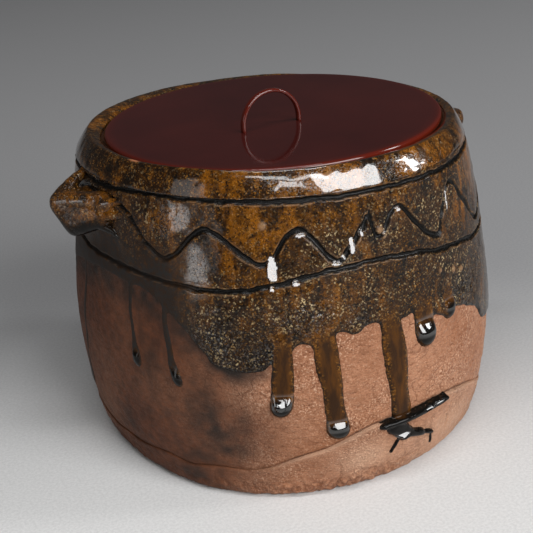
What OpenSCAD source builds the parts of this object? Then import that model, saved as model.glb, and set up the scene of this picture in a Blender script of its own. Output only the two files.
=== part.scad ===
// Tea ceremony water jar: a hand-pressed stoneware jar under an ash glaze that has
// run down its wall, two folded clay ears, and a loose lacquered lid with a bow handle.
// Millimetres. Z is up, X runs from ear to ear, and the origin is under the foot's centre.

/* [Lid] */
// Diameter of the lacquered lid
lid_d = 150; // [130:1:170]
// Thickness of the lid board
lid_t = 5; // [3.5:0.1:6]
// Radius of the lid's rounded top edge
lid_round = 1.4; // [0.6:0.1:1.6]
// Bevel under the lid's edge
lid_bevel = 1.6; // [0.5:0.1:1.8]
// Free play between the lid and its seat in the rim
lid_gap = 0.8; // [0.5:0.1:1.2]
// Play between the lid's underside and the ledge that it lies on
seat_gap = 0.2; // [0.1:0.05:0.3]

/* [Bow handle] */
// Outer span of the bow
bow_span = 29; // [28:0.5:34]
// Height of the bow's straight legs, under its half ring
bow_leg = 2.2; // [1:0.1:4]
// Thickness of the bow's strip
bow_t = 1.6; // [1.5:0.1:2.4]
// Width of the bow's strip
bow_w = 3; // [2.4:0.1:4]
// Distance from the lid's middle to the bow's middle, along X
bow_x = -8.4; // [-10:0.1:0]
// Distance from the lid's middle to the bow's middle, along Y
bow_y = -14.5; // [-17:0.1:0]
// Diameter of the round tenon at each end of the bow
tenon_d = 1.3; // [1.1:0.1:1.5]
// Play of a tenon in its hole
tenon_gap = 0.05; // [0.02:0.01:0.1]

/* [Jar] */
// Height of the lip's crest above the table, on average
jar_h = 140; // [134:1:160]
// How much the crest rises and falls around the lip
lip_tilt = 1.6; // [0:0.1:1.7]
// Width of the lip, from the lid's seat to the outer wall at the neck
lip_w = 9.2; // [8.6:0.2:12]
// How far the waist stands out beyond the neck
waist_swell = 6; // [4:0.5:9]
// How far the belly stands out beyond the neck
belly_swell = 10.8; // [8:0.2:14]
// How far the wall stands out beyond the neck where it meets the base
toe_swell = 8; // [5:0.5:10]
// How far the foot stands out beyond the neck
foot_swell = 3.6; // [1:0.2:7]
// Height of the belly's fullest place
belly_z = 52; // [46:1:60]
// Thickness of the wall
wall_t = 8; // [6:0.2:10]
// Thickness of the floor
floor_t = 11; // [8:0.5:13]
// Height of the seam where the wall stands on the base
seam_z = 20; // [16:0.5:22]
// Step out from the wall to the base at the seam
seam_step = 0.5; // [0:0.1:1.2]
// Rounding of the foot's lower edge
foot_round = 3; // [1:0.5:5]
// Amount that the round is pressed into an oval
oval = 3; // [0:0.1:3.6]
// Direction of the oval's long axis
oval_dir = -66; // [-90:1:90]
// Amount of the three soft bulges below the neck
lobe = 3; // [0:0.1:5]
// Direction of the first bulge
lobe_dir = -6; // [-60:1:60]

/* [Mouth] */
// Distance from the jar's axis to the mouth's axis, along X
mouth_x = 2.4; // [0:0.1:2.8]
// Distance from the jar's axis to the mouth's axis, along Y
mouth_y = -1.4; // [-2:0.1:0]
// Width of the ledge that the lid lies on
ledge_w = 6; // [4:0.2:8]
// Height of the ledge's edge
ledge_h = 7; // [5:0.5:9]
// Depth of the ledge under the lip's crest
ledge_drop = 4.4; // [4.2:0.1:5.4]
// Height of the upright wall around the lid's seat
seat_wall = 2; // [1:0.1:2.4]
// Flat land between the seat and the lip's roll
land_w = 0.8; // [0.4:0.1:1.2]

/* [Carved grooves] */
// Depth of the upper groove under the lip's crest
neck_drop = 8.5; // [8:0.5:12]
// Depth of the lower groove under the lip's crest
waist_drop = 41; // [38:0.5:48]
// Width of both grooves
groove_w = 3; // [2:0.2:4]
// Depth of both grooves
groove_d = 1.2; // [0:0.1:1.6]

/* [Ears] */
// Distance that an ear stands out from the wall
ear_out = 18; // [13:0.5:22]
// Width of an ear along the wall
ear_w = 36; // [28:0.5:42]
// Height of an ear
ear_h = 27; // [22:0.5:29]
// Thickness of an ear's rolled edge
ear_t = 8; // [7:0.5:9]
// Distance from the lip's crest down to an ear's middle
ear_drop = 23; // [23:0.5:27]

/* [Glaze] */
// Thickness of the glaze on the wall
coat_t = 0.8; // [0.5:0.1:1.2]
// Thickness of the glaze at its edges
edge_t = 0.4; // [0.3:0.1:0.5]
// Extra thickness of the glaze in a run
run_t = 1.4; // [0.6:0.1:2]
// Thickness of the glaze inside the jar
lining_t = 0.6; // [0.4:0.1:1]
// Space between the clay and the modelled glaze
coat_gap = 0.15; // [0.1:0.01:0.2]

/* [Hidden] */
$fn = 96;

seat_r = lid_d/2 + lid_gap;
mouth_r = seat_r - ledge_w;
mouth = [mouth_x, mouth_y];
neck_r = seat_r + lip_w;
neck_z = jar_h - neck_drop;
waist_z = jar_h - waist_drop;
ledge_z = jar_h - ledge_drop;
land_z = ledge_z + seat_wall;
throat_z = ledge_z - ledge_h;
lip_z = neck_z + groove_w*0.7;
lid_z = ledge_z + seat_gap;
bow_r = bow_span/2;

// Heights, mean radii and bulges of the wall, from the foot to the neck
levels = [0, seam_z, belly_z, waist_z, neck_z, jar_h];
radii = [neck_r + foot_swell, neck_r + toe_swell, neck_r + belly_swell,
    neck_r + waist_swell, neck_r, neck_r - lip_w*0.25];
lobes = [lobe, lobe*0.7, lobe, lobe*0.85, 0, 0];

// Glaze runs: direction, width, and how far each ends below the lower groove
runs = [[-190, 7, 60], [-160, 6, 43], [-146, 6, 47], [-119, 9, 59], [-106, 10, 70],
    [-89, 9, 72], [-79, 7, 42], [60, 9, 56], [118, 8, 48]];
// Edge of the glaze between the runs: direction and depth below the lower groove
edge_marks = [[-200, 10], [-163, 12], [-148, 19], [-130, 38], [-114, 27], [-96, 23], [-68, 33],
    [-43, 50], [0, 34], [60, 27], [110, 34], [160, 10]];

// Smooth curve through values v at the wall's levels
function level_at(z, i = 0) = i >= len(levels) - 2 || z < levels[i + 1] ? i : level_at(z, i + 1);
function rate(v, i) = (v[i + 1] - v[i])/(levels[i + 1] - levels[i]);
function slope(v, i) = i == 0 ? rate(v, 0)
    : i == len(levels) - 1 ? rate(v, i - 1)
    : (rate(v, i - 1) + rate(v, i))/2;
function curve(v, z) = let (i = level_at(z), h = levels[i + 1] - levels[i], t = (z - levels[i])/h)
    v[i]*(2*t^3 - 3*t^2 + 1) + slope(v, i)*h*(t^3 - 2*t^2 + t)
    + v[i + 1]*(3*t^2 - 2*t^3) + slope(v, i + 1)*h*(t^3 - t^2);

// Radius of the clay's outer face at direction a and height z
function wall_r(a, z) = curve(radii, z) + oval*cos(2*(a - oval_dir))
    + curve(lobes, z)*cos(3*(a - lobe_dir));
function turn(a, r) = [r*cos(a), r*sin(a)];
function wall_pt(a, z, out = 0) = concat(turn(a, wall_r(a, z) + out), z);

// The rolled lip: f goes from 0 at the outer wall over 90 at the crest to 180 at the land
function crest_z(a) = jar_h + lip_tilt*cos(a + 165);
function lip_pt(a, f, out = 0) = let (k = (1 - cos(f))/2, low = f < 90 ? lip_z : land_z,
    xy = (1 - k)*turn(a, wall_r(a, lip_z)) + k*(mouth + turn(a, seat_r + land_w)))
    concat(xy + turn(a, out*cos(f)), low + (crest_z(a) - low)*sin(f) + out*sin(f));

// Directions of the loft's columns
cols = [for (i = [0 : 59]) 6*i - 200];

// Rows of the wall as height and depth of carving, from the seam to the lip
function groove(z) = [[z - groove_w/2, 0], [z, groove_d], [z + groove_w/2, 0]];
side_rows = [for (i = [0 : 6]) [seam_z + (waist_z - groove_w - seam_z)*i/6, 0]];
upper_rows = concat(groove(waist_z),
    [for (i = [1, 2]) [waist_z + (neck_z - waist_z)*i/3, 0]], groove(neck_z));
lip_turns = [0, 35, 65, 90, 120, 150];

// The coat, ring by ring from the lip down to its lower edge
function low_z(a) = waist_z - lookup(a, edge_marks);
coat_steps = [0, 0.25, 0.5, 0.75, 0.95, 1];
function coat_ring(s, out) = [for (a = cols) let (top = waist_z - groove_w)
    wall_pt(a, top + (low_z(a) - top)*s, coat_gap + (out ? (s == 1 ? edge_t : coat_t) : 0))];
function coat_rings(out) = concat(
    [for (i = [5, 4, 3, 2, 1, 0]) [for (a = cols)
        lip_pt(a, lip_turns[i], coat_gap + (out ? (i == 5 ? edge_t : coat_t) : 0))]],
    [for (i = [len(upper_rows) - 1 : -1 : 0]) [for (a = cols)
        wall_pt(a, upper_rows[i][0], coat_gap - upper_rows[i][1] + (out ? coat_t : 0))]],
    [for (s = coat_steps) coat_ring(s, out)]);

// A run q, row by row from inside the coat down to a round end that is thickest in a bead
run_lanes = [-1, -0.8, -0.45, 0, 0.45, 0.8, 1];
run_steps = [0, 0.2, 0.4, 0.6, 0.8, 0.92, 1];
function run_z(q, x, s) = let (top = low_z(q[0]) + 5,
    end = waist_z - q[2] + q[1]*0.6*(1 - sqrt(1 - x*x))) top + (end - top)*s;
function run_thick(x, s) = s == 0 || s == 1 ? edge_t : edge_t + run_t*sqrt(1 - x*x)*(0.4 + 0.6*s);
function run_rows(q, out) = [for (s = run_steps) [for (x = run_lanes)
    wall_pt(q[0] + x*q[1]/2/(neck_r + belly_swell)*180/PI, run_z(q, x, s),
        coat_gap*2 + (out ? run_thick(x, s) : 0))]];

// Rings of the inside, from the throat down to the floor
cavity_cols = [for (i = [0 : 39]) 9*i];
belly_rows = [for (i = [0 : 6]) throat_z - 14 - (throat_z - 14 - floor_t - 9)*i/6];
function throat_ring(in) = [for (a = cavity_cols)
    concat(mouth + turn(a, mouth_r + 0.4 - in), throat_z)];
function shoulder_ring(in) = [for (a = cavity_cols) let (z = throat_z - 5)
    concat((mouth + turn(a, mouth_r + 0.4 - in) + turn(a, wall_r(a, z) - wall_t - in))/2, z)];
function cavity_rings(in) = concat([throat_ring(in), shoulder_ring(in)],
    [for (z = belly_rows) [for (a = cavity_cols) wall_pt(a, z, -wall_t - in)]],
    [for (d = [[5, 1.5], [2, 4], [0, 9]]) [for (a = cavity_cols)
        concat(turn(a, wall_r(a, floor_t + d[0]) - wall_t - d[1] - in), floor_t + d[0] + in)]]);

// Triangles between ring i and ring i + 1 of n points, numbered from base
function band(i, n, base, flip) = [for (j = [0 : n - 1])
    let (p = base + i*n + j, q = base + i*n + (j + 1) % n)
    each (flip ? [[p, q, q + n], [p, q + n, p + n]] : [[p, q + n, q], [p, p + n, q + n]])];

// Solid between the first and last of a list of level rings that go up or down
module loft(rings, up) {
    n = len(rings[0]);
    last = (len(rings) - 1)*n;
    count_up = [for (j = [0 : n - 1]) j];
    count_down = [for (j = [n - 1 : -1 : 0]) j];
    sides = [for (i = [0 : len(rings) - 2]) each band(i, n, 0, !up)];
    caps = [up ? count_up : count_down, [for (j = up ? count_down : count_up) last + j]];
    polyhedron([for (r = rings) each r], concat(sides, caps));
}

// Closed skin between two sets of rings that run down the wall
module skin(outer, inner) {
    n = len(outer[0]);
    m = len(outer);
    half = n*m;
    rims = [for (j = [0 : n - 1]) let (k = (j + 1) % n, t = (m - 1)*n) each [
        [j, half + k, k], [j, half + j, half + k],
        [t + j, t + k, half + t + k], [t + j, half + t + k, half + t + j]]];
    sides = [for (i = [0 : m - 2]) each concat(band(i, n, 0, true), band(i, n, half, false))];
    polyhedron(concat([for (r = outer) each r], [for (r = inner) each r]), concat(sides, rims));
}

// Closed patch between two grids of points on the wall, in rows that run down it
module patch(outer, inner) {
    n = len(outer[0]);
    m = len(outer);
    half = n*m;
    cells = [for (i = [0 : m - 2], j = [0 : n - 2]) let (p = i*n + j, q = p + 1) each [
        [p, q, q + n], [p, q + n, p + n],
        [half + p, half + q + n, half + q], [half + p, half + p + n, half + q + n]]];
    ends = [for (j = [0 : n - 2]) let (k = j + 1, t = (m - 1)*n) each [
        [j, half + k, k], [j, half + j, half + k],
        [t + j, t + k, half + t + k], [t + j, half + t + k, half + t + j]]];
    edges = [for (i = [0 : m - 2]) let (p = i*n, q = p + n - 1) each [
        [p, p + n, half + p + n], [p, half + p + n, half + p],
        [q + n, q, half + q], [q + n, half + q, half + q + n]]];
    polyhedron(concat([for (r = outer) each r], [for (r = inner) each r]),
        concat(cells, ends, edges));
}

// Outer form of the wall as one solid, grown by out
module wall_form(out = 0) {
    rows = concat(side_rows, upper_rows);
    loft(concat([for (w = rows) [for (a = cols) wall_pt(a, w[0], out - w[1])]],
        [for (f = concat(lip_turns, 180)) [for (a = cols) lip_pt(a, f, out)]]), true);
}

module cavity() {
    loft(cavity_rings(0), false);
}

// The lid's seat and the mouth below it, about the mouth's own axis
module mouth_cut() {
    translate([mouth_x, mouth_y, ledge_z]) cylinder(r = seat_r, h = ledge_drop + lip_tilt + 5);
    translate([mouth_x, mouth_y, throat_z - 1]) cylinder(r = mouth_r, h = ledge_h + 2);
}

module jar_wall() {
    color("saddlebrown") difference() {
        wall_form();
        cavity();
        mouth_cut();
    }
}

module jar_base() {
    rows = [[0, foot_round], [foot_round*0.35, foot_round*0.35], [foot_round, 0], [seam_z/2, 0],
        [seam_z, 0]];
    color("peru") difference() {
        loft([for (w = rows) [for (a = cols) wall_pt(a, w[0], seam_step - w[1])]], true);
        cavity();
    }
}

// A folded ear on the side at direction a, grown by out: an upper lobe that runs along the
// wall out to the tip, and a lower lobe that hangs under it
module ear_form(a, out = 0) {
    r = ear_t/2;
    z = jar_h - ear_drop;
    tip = [ear_out - r, -ear_w*0.16, ear_h*0.16];
    upper = [[-2, -ear_w/2 + r, ear_h/2 - r], [-2, ear_w/2 - r, ear_h*0.2], tip];
    lower = [[-2, ear_w/2 - 2*r, ear_h*0.1], [-2, ear_w*0.1, -ear_h/2 + 2*r],
        [ear_out/2, 0, -ear_h/2 + r], tip - [r/2, 0, r/2]];
    rotate(a) translate([wall_r(a, z), 0, z]) for (lobe_pts = [upper, lower])
        hull() for (p = lobe_pts) translate(p) sphere(r = r + out, $fn = 20);
}

module left_ear() {
    color("sienna") difference() {
        ear_form(180);
        wall_form(coat_gap/3);
    }
}

module right_ear() {
    color("sienna") difference() {
        ear_form(0);
        wall_form(coat_gap/3);
    }
}

module glaze_coat() {
    color("darkgoldenrod") difference() {
        union() {
            skin(coat_rings(true), coat_rings(false));
            for (q = runs) patch(run_rows(q, true), run_rows(q, false));
        }
        ear_form(180, coat_gap);
        ear_form(0, coat_gap);
    }
}

module inner_glaze() {
    rings = cavity_rings(coat_gap);
    lining = cavity_rings(coat_gap + lining_t);
    top = len(rings) - 1;
    color("olivedrab") difference() {
        loft([for (i = [1 : top]) rings[i]], false);
        loft([for (i = [0 : top]) lining[i]], false);
    }
}

module lid_board() {
    r = lid_d/2;
    color("maroon") translate([mouth_x, mouth_y, lid_z]) difference() {
        rotate_extrude() union() {
            polygon([[0, 0], [r - lid_bevel, 0], [r, lid_bevel], [r, lid_t - lid_round],
                [r - lid_round, lid_t], [0, lid_t]]);
            translate([r - lid_round, lid_t - lid_round]) circle(r = lid_round, $fn = 32);
        }
        tenon_places() translate([0, 0, -1]) cylinder(d = tenon_d + 2*tenon_gap, h = lid_t + 2);
    }
}

// The two places on the lid where the bow's ends stand
module tenon_places() {
    for (s = [-1, 1]) translate([bow_x + s*(bow_r - bow_t/2), bow_y, 0]) children();
}

// A flat strip bent to a half ring on two short legs
module lid_bow() {
    color("maroon") translate([mouth_x, mouth_y, lid_z]) {
        translate([bow_x, bow_y, lid_t + bow_leg]) intersection() {
            rotate([90, 0, 0]) rotate_extrude()
                translate([bow_r - bow_t, -bow_w/2]) square([bow_t, bow_w]);
            translate([-bow_span, -bow_w, 0]) cube([2*bow_span, 2*bow_w, 2*bow_r]);
        }
        tenon_places() translate([-bow_t/2, -bow_w/2, lid_t]) cube([bow_t, bow_w, bow_leg]);
        tenon_places() cylinder(d = tenon_d, h = lid_t + 0.7);
    }
}

jar_wall();
jar_base();
left_ear();
right_ear();
glaze_coat();
inner_glaze();
lid_board();
lid_bow();
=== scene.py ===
import math

import bmesh
import bpy
import numpy as np
from mathutils import Matrix, Vector, noise


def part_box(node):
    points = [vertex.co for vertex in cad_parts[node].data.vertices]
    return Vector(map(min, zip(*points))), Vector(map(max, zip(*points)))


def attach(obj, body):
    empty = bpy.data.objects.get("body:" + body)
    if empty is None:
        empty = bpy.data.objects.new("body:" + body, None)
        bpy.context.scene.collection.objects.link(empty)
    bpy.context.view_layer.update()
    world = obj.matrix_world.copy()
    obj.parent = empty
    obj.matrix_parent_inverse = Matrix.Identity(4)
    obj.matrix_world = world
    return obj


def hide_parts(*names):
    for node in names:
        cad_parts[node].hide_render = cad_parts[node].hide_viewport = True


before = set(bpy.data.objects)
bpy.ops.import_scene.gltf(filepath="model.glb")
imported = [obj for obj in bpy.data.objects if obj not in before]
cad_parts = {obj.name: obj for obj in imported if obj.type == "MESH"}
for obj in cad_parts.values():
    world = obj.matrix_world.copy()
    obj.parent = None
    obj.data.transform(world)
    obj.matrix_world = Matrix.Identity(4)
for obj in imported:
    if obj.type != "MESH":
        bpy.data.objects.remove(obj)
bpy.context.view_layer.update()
print("frame loaded")

mm = 0.001  # shapes below are in millimetres and degrees
lidLow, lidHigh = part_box("lid_board")
bowLow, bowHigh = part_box("lid_bow")
lidMiddle = np.array([lidLow.x + lidHigh.x, lidLow.y + lidHigh.y]) / 2 / mm
lidRadius = (lidHigh.x - lidLow.x) / 2 / mm
lidBottom, lidTop = lidLow.z / mm, lidHigh.z / mm

# the pressed form that wall, base, glaze and ears share
jar = {
    "levels": [0, 20, 52, 99, 131.5, 140],
    "swell": [3.6, 8, 10.8, 6, 0, -2.3],  # beyond the neck's radius
    "lobes": [3, 2.1, 3, 2.55, 0, 0], "lobeDir": -6,
    "oval": 3.0, "ovalDir": -66,
    "neckRadius": lidRadius + 10.0,
    "seatRadius": lidRadius + 0.8, "mouthRadius": lidRadius - 5.2,
    "crest": 140.0, "crestTilt": 1.6, "crestHighDir": -165, "crestLumps": 0.3,
    "lipFrom": 132.0, "lipSlope": 1.75, "land": 137.6, "landWide": 0.8, "ledge": 135.6, "throat": 128.6,
    "wall": 8.0, "floor": 11.0, "baseProud": 0.6, "shelf": 0.9, "shelfFall": 3.0, "seamLumps": 0.4,
    "presses": [(0.55, 38, 3), (0.2, 10, 4)], "pressFade": (137, 120),
    "dent": (-139, 112, 9, 9, 1.2),  # direction, height, half width, half height, depth
    "smokyDir": -185, "smokyFront": (52, 36), "smokyBack": (-62, -36),
    "shelfDir": -88, "shelfEnds": (42, 26),
}
wallAround, wallTall, wallArm = 580, 145, 94  # mm around the wall, up it, and along it per radian
# the seam between base and wall: (direction, height) of its bends
seamMarks = [(-190, 13), (-165, 13), (-152, 14), (-146, 12.5), (-138, 15), (-130, 14.5), (-123, 16.5),
             (-118, 20), (-110, 24), (-104, 27.5), (-98, 30.6), (-90, 31.4), (-74, 31.4), (-64, 28),
             (-48, 18), (-36, 12), (-15, 14), (30, 20), (80, 24), (130, 18)]


def curveThrough(places, values, at):
    places, values = np.asarray(places, float), np.asarray(values, float)
    rate = np.diff(values) / np.diff(places)
    slope = np.concatenate([[rate[0]], (rate[:-1] + rate[1:]) / 2, [rate[-1]]])
    i = np.clip(np.searchsorted(places, at, side="right") - 1, 0, len(places) - 2)
    span = places[i + 1] - places[i]
    t = (at - places[i]) / span
    return (values[i] * (2 * t**3 - 3 * t**2 + 1) + slope[i] * span * (t**3 - 2 * t**2 + t)
            + values[i + 1] * (3 * t**2 - 2 * t**3) + slope[i + 1] * span * (t**3 - t**2))


def aroundThrough(marks, theta):  # closed curve through (direction, value) marks
    d, v = np.array(marks, float).T
    return curveThrough(np.concatenate([d - 360, d, d + 360]), np.tile(v, 3), theta)


def softNoise(u, v, cellsU, cellsV, seed):  # smooth noise, closed in u from 0 to 1
    grid = np.random.RandomState(seed).uniform(-1, 1, (cellsV + 2, cellsU))
    x, y = (u % 1.0) * cellsU, np.clip(v, 0, 1) * cellsV
    i, j = np.floor(x).astype(int) % cellsU, np.clip(np.floor(y).astype(int), 0, cellsV)
    fx, fy = x - np.floor(x), y - j
    fx, fy = fx * fx * (3 - 2 * fx), fy * fy * (3 - 2 * fy)
    k = (i + 1) % cellsU
    low = grid[j, i] * (1 - fx) + grid[j, k] * fx
    high = grid[j + 1, i] * (1 - fx) + grid[j + 1, k] * fx
    return low * (1 - fy) + high * fy


def wallNoise(theta, z, size, seed):  # noise with lumps of about size mm on the wall
    around, up = max(3, round(wallAround / size)), max(1, round(wallTall / size))
    return softNoise(theta / 360, z / wallTall, around, up, seed)


def lumps(theta, z, layers):  # noise layers on the wall: (height, size, seed)
    return sum(height * wallNoise(theta, z, size, seed) for height, size, seed in layers)


def ringNoise(theta, cells, seed):  # noise around the jar, the same at each height
    return softNoise(theta / 360, 0 * theta + 0.5, cells, 2, seed)


def lipNoise(theta, turn, around, across, seed):
    return softNoise(theta / 360, turn / 180, around, across, seed)


def rise(a, b, x):  # smooth step, 0 at a and 1 at b
    t = np.clip((x - a) / (b - a), 0, 1)
    return t * t * (3 - 2 * t)


def roundOver(share):  # quarter circle, 0 at 0 and 1 from 1 on
    return np.sqrt(np.clip(1 - (1 - np.clip(share, 0, 1)) ** 2, 0, 1))


def turnFrom(theta, direction):  # signed angle from a direction
    return (theta - direction + 180) % 360 - 180


def acrossWall(theta, direction, arm=wallArm):  # mm along the wall from a direction
    return np.radians(turnFrom(theta, direction)) * arm


def slopeAlong(marks, theta, step, arm):  # how steeply a curve around the jar climbs
    climb = aroundThrough(marks, theta + step) - aroundThrough(marks, theta)
    return climb / (math.radians(step) * arm)


def ways(theta):  # level unit vectors in the given directions
    a = np.radians(theta)
    return np.stack([np.cos(a), np.sin(a)], -1)


def levelRing(theta, radius, height):  # ring around the lid's middle
    return np.concatenate([lidMiddle + ways(theta) * radius, np.full((len(theta), 1), height)], -1)


def spot(theta, z, direction, height, wide, tall, strength=1.0):  # soft oval patch on the wall
    across = acrossWall(theta, direction)
    return strength * np.exp(-((across / wide) ** 2 + ((z - height) / tall) ** 2))


def strongest(theta, z, marks):  # the strongest of a list of soft patches
    return np.maximum.reduce([spot(theta, z, *mark) for mark in marks])


def wallRadius(theta, z):
    r = jar["neckRadius"] + curveThrough(jar["levels"], jar["swell"], z)
    r = r + jar["oval"] * np.cos(2 * np.radians(theta - jar["ovalDir"]))
    lobe = curveThrough(jar["levels"], jar["lobes"], z)
    return r + lobe * np.cos(3 * np.radians(theta - jar["lobeDir"]))


def pressMarks(theta, z):  # soft hand dents, which fade out under the lip
    dents = lumps(theta, z, jar["presses"]) - spot(theta, z, *jar["dent"])
    return dents * rise(*jar["pressFade"], z)


def wallPoint(theta, z, out):
    r = wallRadius(theta, z) + pressMarks(theta, z) + out
    a = np.radians(theta)
    return np.stack([r * np.cos(a), r * np.sin(a), z + 0 * r], -1)


def lipPoint(theta, turn, out):  # turn 0 at the outer wall, 90 on the crest, 180 at the lid's seat
    f = np.radians(turn)
    flat = np.where(turn < 90, jar["lipSlope"], 1.0)  # the outer half is a slope more than a roll
    side, up = np.sign(np.cos(f)) * np.abs(np.cos(f)) ** flat, np.sin(f) ** flat
    k = (1 - side) / 2
    way = ways(theta)
    start = np.full_like(f, jar["lipFrom"])
    outer = way * (wallRadius(theta, start) + pressMarks(theta, start))[..., None]
    inner = lidMiddle + way * (jar["seatRadius"] + jar["landWide"])
    xy = outer * (1 - k)[..., None] + inner * k[..., None] + way * (out * np.cos(f))[..., None]
    crest = jar["crest"] + jar["crestTilt"] * np.cos(np.radians(theta - jar["crestHighDir"]))
    crest = crest + jar["crestLumps"] * ringNoise(theta, 18, 8)
    low = np.where(turn < 90, jar["lipFrom"], jar["land"])
    z = low + (crest - low) * up + out * np.sin(f)
    return np.concatenate([xy, z[..., None]], -1)


def seamHeight(theta):
    return aroundThrough(seamMarks, theta) + jar["seamLumps"] * ringNoise(theta, 60, 21)


def seamFront(theta):  # 1 where the seam stands out, in front
    return rise(*jar["shelfEnds"], np.abs(turnFrom(theta, jar["shelfDir"])))


def baseOut(theta, z):  # how far the base stands proud of the wall's form
    shelf = seamFront(theta) * np.exp(-np.abs(seamHeight(theta) - z) / jar["shelfFall"])
    return jar["baseProud"] * rise(0, 5, z) + jar["shelf"] * shelf


def leftSide(theta):  # 1 on the smoky side, which is smoother and darker
    t = turnFrom(theta, jar["smokyDir"])
    return rise(*jar["smokyFront"], t) * rise(*jar["smokyBack"], t)


def gridPiece(name, points, keep=None, ends=(False, False), fields=None):
    # points are rows by columns in mm, closed around the columns
    rows, cols = points.shape[:2]
    verts = points.reshape(-1, 3) * mm
    r, c = np.meshgrid(np.arange(rows - 1), np.arange(cols), indexing="ij")
    n = (c + 1) % cols
    here, above = r * cols, (r + 1) * cols
    quads = np.stack([here + c, here + n, above + n, above + c], -1).reshape(-1, 4)
    fields = {key: f.reshape(-1) for key, f in (fields or {}).items()}
    if keep is not None:
        quads = quads[keep.reshape(-1)[quads].any(1)]
        used = np.unique(quads)
        place = np.full(len(verts), -1)
        place[used] = np.arange(len(used))
        verts, quads = verts[used], place[quads]
        fields = {key: f[used] for key, f in fields.items()}
    caps = [np.arange(cols)[::-1]] * ends[0] + [np.arange(cols) + (rows - 1) * cols] * ends[1]
    loops = np.concatenate([quads.ravel()] + caps)
    sizes = np.concatenate([np.full(len(quads), 4), [len(cap) for cap in caps]]).astype(int)
    mesh = bpy.data.meshes.new(name)
    mesh.vertices.add(len(verts))
    mesh.vertices.foreach_set("co", verts.ravel())
    mesh.loops.add(len(loops))
    mesh.loops.foreach_set("vertex_index", loops)
    mesh.polygons.add(len(sizes))
    mesh.polygons.foreach_set("loop_start", np.concatenate([[0], np.cumsum(sizes)[:-1]]))
    mesh.update(calc_edges=True)
    mesh.validate()
    return finishMesh(name, mesh, fields)


def finishMesh(name, mesh, fields):
    for key, values in fields.items():
        layer = mesh.attributes.new(key, "FLOAT", "POINT")
        layer.data.foreach_set("value", np.asarray(values, np.float32))
    mesh.polygons.foreach_set("use_smooth", np.ones(len(mesh.polygons), bool))
    piece = bpy.data.objects.new(name, mesh)
    bpy.context.scene.collection.objects.link(piece)
    return piece


def dress(piece, body, node, material):  # ride on a body and stand for a node
    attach(piece, body)
    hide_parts(node)
    piece.data.materials.clear()
    piece.data.materials.append(material)


# short names for shader nodes
def newMaterial(name):
    material = bpy.data.materials.new(name)
    material.use_nodes = True
    tree = material.node_tree
    where = put(tree, "TexCoord").outputs["Object"]
    return material, tree, tree.nodes["Principled BSDF"], where


def feed(node, inputs):  # link sockets, and set other values
    for key, value in inputs.items():
        if isinstance(value, bpy.types.NodeSocket):
            node.id_data.links.new(value, node.inputs[key])
        else:
            node.inputs[key].default_value = value


def put(tree, kind, inputs=None, **settings):
    node = tree.nodes.new("ShaderNode" + kind)
    for key, value in settings.items():
        setattr(node, key, value)
    feed(node, inputs or {})
    return node


def field(tree, name):
    return put(tree, "Attribute", attribute_name=name).outputs["Fac"]


def grain(where, scale, detail, rough):
    inputs = {"Vector": where, "Scale": scale, "Detail": detail, "Roughness": rough}
    return put(where.id_data, "TexNoise", inputs).outputs["Fac"]


def grains(where, look, *names):
    return [grain(where, *look[name]) for name in names]


def randomCells(where, scale):  # a random red, green and blue for each cell
    cells = put(where.id_data, "TexVoronoi", {"Vector": where, "Scale": scale}).outputs["Color"]
    return put(where.id_data, "SeparateColor", {"Color": cells}).outputs


def between(value, low, high, outLow=0.0, outHigh=1.0):
    inputs = {"Value": value, "From Min": low, "From Max": high, "To Min": outLow, "To Max": outHigh}
    return put(value.id_data, "MapRange", inputs).outputs["Result"]


def maths(operation, a, b):
    return put(a.id_data, "Math", {0: a, 1: b}, operation=operation).outputs[0]


def times(a, b):
    return maths("MULTIPLY", a, b)


def plus(a, b):
    return maths("ADD", a, b)


def larger(a, b):
    return maths("MAXIMUM", a, b)


def tint(amount, under, over):  # one colour over another
    colours = [c if isinstance(c, bpy.types.NodeSocket) else (*c, 1) for c in (under, over)]
    inputs = {0: amount, 6: colours[0], 7: colours[1]}
    return put(amount.id_data, "Mix", inputs, data_type="RGBA").outputs[2]


def layered(look, colour, coats):  # coats: colour, where, from, to, how much
    for over, value, low, high, most in coats:
        colour = tint(between(value, low, high, 0.0, most), colour, look[over])
    return colour


def bump(height, distance, strength):
    inputs = {"Height": height, "Distance": distance, "Strength": strength}
    return put(height.id_data, "Bump", inputs).outputs["Normal"]


# bare clay, coarse and coppery in front, brown and smooth on the smoky side
clayLook = {
    "copper": (0.300, 0.118, 0.053), "pale": (0.47, 0.225, 0.125), "glint": (0.72, 0.45, 0.30),
    # the dark red-brown serves two uses: rust-red blotches, and painted shade in hollows
    "rustAndShade": (0.150, 0.045, 0.016), "brown": (0.058, 0.0185, 0.007), "sootAndShade": (0.016, 0.010, 0.007),
    # scale, detail and roughness of each noise
    "broad": (24, 5, 0.6), "middle": (190, 6, 0.65), "fine": (1200, 3, 0.65), "coarse": (480, 3, 0.6),
    "patchy": (45, 3, 0.5), "drag": (300, 6, 0.72),
    "flatten": (1.0, 1.0, 2.2), "swirl": 160.0, "bend": (0.006, 0.006, 0.006), "crackle": 120.0,
    "roughness": (0.34, 0.56), "sheen": 0.25, "bump": (0.0018, 0.9),
}


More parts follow.
